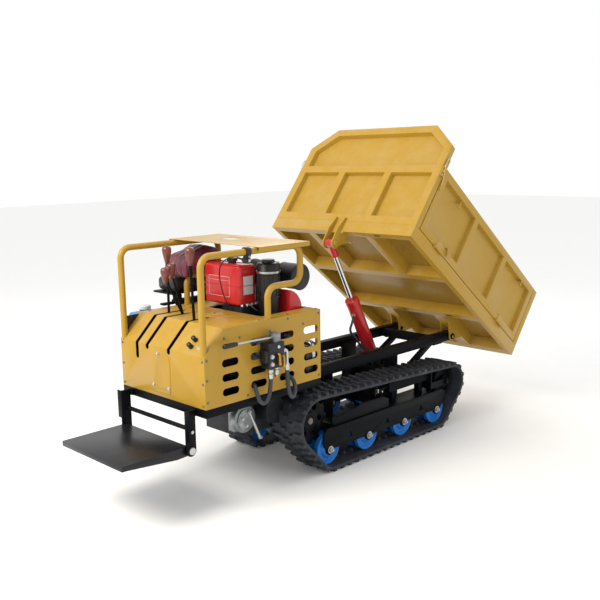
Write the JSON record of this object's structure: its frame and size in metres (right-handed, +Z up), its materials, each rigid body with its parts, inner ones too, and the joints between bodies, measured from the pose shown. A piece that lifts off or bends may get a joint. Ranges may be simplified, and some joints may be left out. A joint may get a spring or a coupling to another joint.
{
  "type": "crawler dumper",
  "caption": "Ride-behind crawler dumper with a tipping dropside bed, rubber tracks, a louvred engine hull with handrails, hand levers and a folding operator step.",
  "frame": {"origin": "on the floor, at the centre of the bounding box", "axes": "+X from the operator step towards the dumping end, +Y to the left of an operator who looks along +X, +Z up"},
  "size_m": [3.5396, 1.251, 2.0871],
  "materials": {
    "yellow_paint": "gloss paint",
    "black_paint": "satin paint",
    "track_rubber": "matte moulded rubber",
    "blue_paint": "gloss paint",
    "red_paint": "gloss paint",
    "cast_metal": "as cast",
    "steel": "zinc plated",
    "chrome_rod": "ground and chromed",
    "black_plastic": "moulded",
    "exhaust_black": "heat-proof matte paint",
    "hose_rubber": "matte",
    "lever_set": "satin paint with turned wooden knobs",
    "vinyl": "soft vinyl"
  },
  "bodies": {
    "chassis": {"hood_side_right": "yellow_paint", "hood_side_left": "yellow_paint", "hood_front": "yellow_paint", "hood_slope": "yellow_paint", "hood_deck": "yellow_paint", "hood_rear": "yellow_paint", "handrail_right": "yellow_paint", "handrail_left": "yellow_paint", "canopy": "yellow_paint", "base_frame": "black_paint", "chassis_rails": "black_paint", "chassis_cross": "black_paint", "chassis_braces": "black_paint", "track_frame_right": "black_paint", "track_frame_left": "black_paint", "track_tensioner_right": "black_paint", "track_tensioner_left": "black_paint", "step_arms": "black_paint", "left_brackets": "black_paint", "sprocket_right": "black_paint", "sprocket_left": "black_paint", "track_right": "track_rubber", "track_left": "track_rubber", "track_wheels_right": "blue_paint", "track_wheels_left": "blue_paint", "oil_tank": "blue_paint", "fuel_tank": "red_paint", "fan_cover": "red_paint", "engine_block": "cast_metal", "gearbox": "cast_metal", "brake_drum": "cast_metal", "control_valve": "cast_metal", "drive_axle": "steel", "air_filter": "black_plastic", "throttle_clamp": "black_plastic", "muffler": "exhaust_black", "valve_hoses": "hose_rubber", "throttle_cable": "hose_rubber", "hand_levers": "lever_set", "seat_back": "vinyl", "seat_cushion": "vinyl"},
    "bed": {"bed_floor": "yellow_paint", "bed_underframe": "yellow_paint", "headboard": "yellow_paint", "rear_posts": "yellow_paint", "gate_latches": "steel"},
    "side_gate_right": {"side_gate_right": "yellow_paint"},
    "side_gate_left": {"side_gate_left": "yellow_paint"},
    "tail_leaf_right": {"tail_leaf_right": "yellow_paint"},
    "tail_leaf_left": {"tail_leaf_left": "yellow_paint"},
    "ram_barrel": {"ram_barrel": "red_paint"},
    "ram_rod": {"ram_rod": "chrome_rod"},
    "step": {"step_platform": "black_paint"}
  },
  "joints": [
    {"name": "bed_tip", "type": "hinge", "parent": "chassis", "child": "bed", "pos_m": [1.139, 0, 0.582], "axis": [0, 1, 0], "range_deg": [-37.8, 4]},
    {"name": "barrel_swing", "type": "hinge", "parent": "chassis", "child": "ram_barrel", "pos_m": [0.544, 0, 0.5], "axis": [0, 1, 0], "range_deg": [-58.88, 6.68]},
    {"name": "rod_slide", "type": "slide", "parent": "ram_barrel", "child": "ram_rod", "axis": [-0.4627, 0, 0.8865], "range_m": [-0.26195, 0.02951]},
    {"name": "side_gate_right_drop", "type": "hinge", "parent": "bed", "child": "side_gate_right", "pos_m": [0.83521, -0.6175, 0.99799], "axis": [0.7902, 0, -0.6129], "range_deg": [0, 170]},
    {"name": "side_gate_left_drop", "type": "hinge", "parent": "bed", "child": "side_gate_left", "pos_m": [0.83521, 0.6175, 0.99799], "axis": [-0.7902, 0, 0.6129], "range_deg": [0, 170]},
    {"name": "tail_leaf_right_swing", "type": "hinge", "parent": "bed", "child": "tail_leaf_right", "pos_m": [1.61705, -0.577, 0.67945], "axis": [-0.6129, 0, -0.7902], "range_deg": [0, 175]},
    {"name": "tail_leaf_left_swing", "type": "hinge", "parent": "bed", "child": "tail_leaf_left", "pos_m": [1.61705, 0.577, 0.67945], "axis": [0.6129, 0, 0.7902], "range_deg": [0, 175]},
    {"name": "step_fold", "type": "hinge", "parent": "chassis", "child": "step", "pos_m": [-1.351, 0, 0.372], "axis": [0, 1, 0], "range_deg": [0, 75]}
  ],
  "couplings": [
    {"joint": "barrel_swing", "follows": "bed_tip", "ratio": 1.5443},
    {"joint": "rod_slide", "follows": "bed_tip", "m_per_rad": 0.39402}
  ]
}
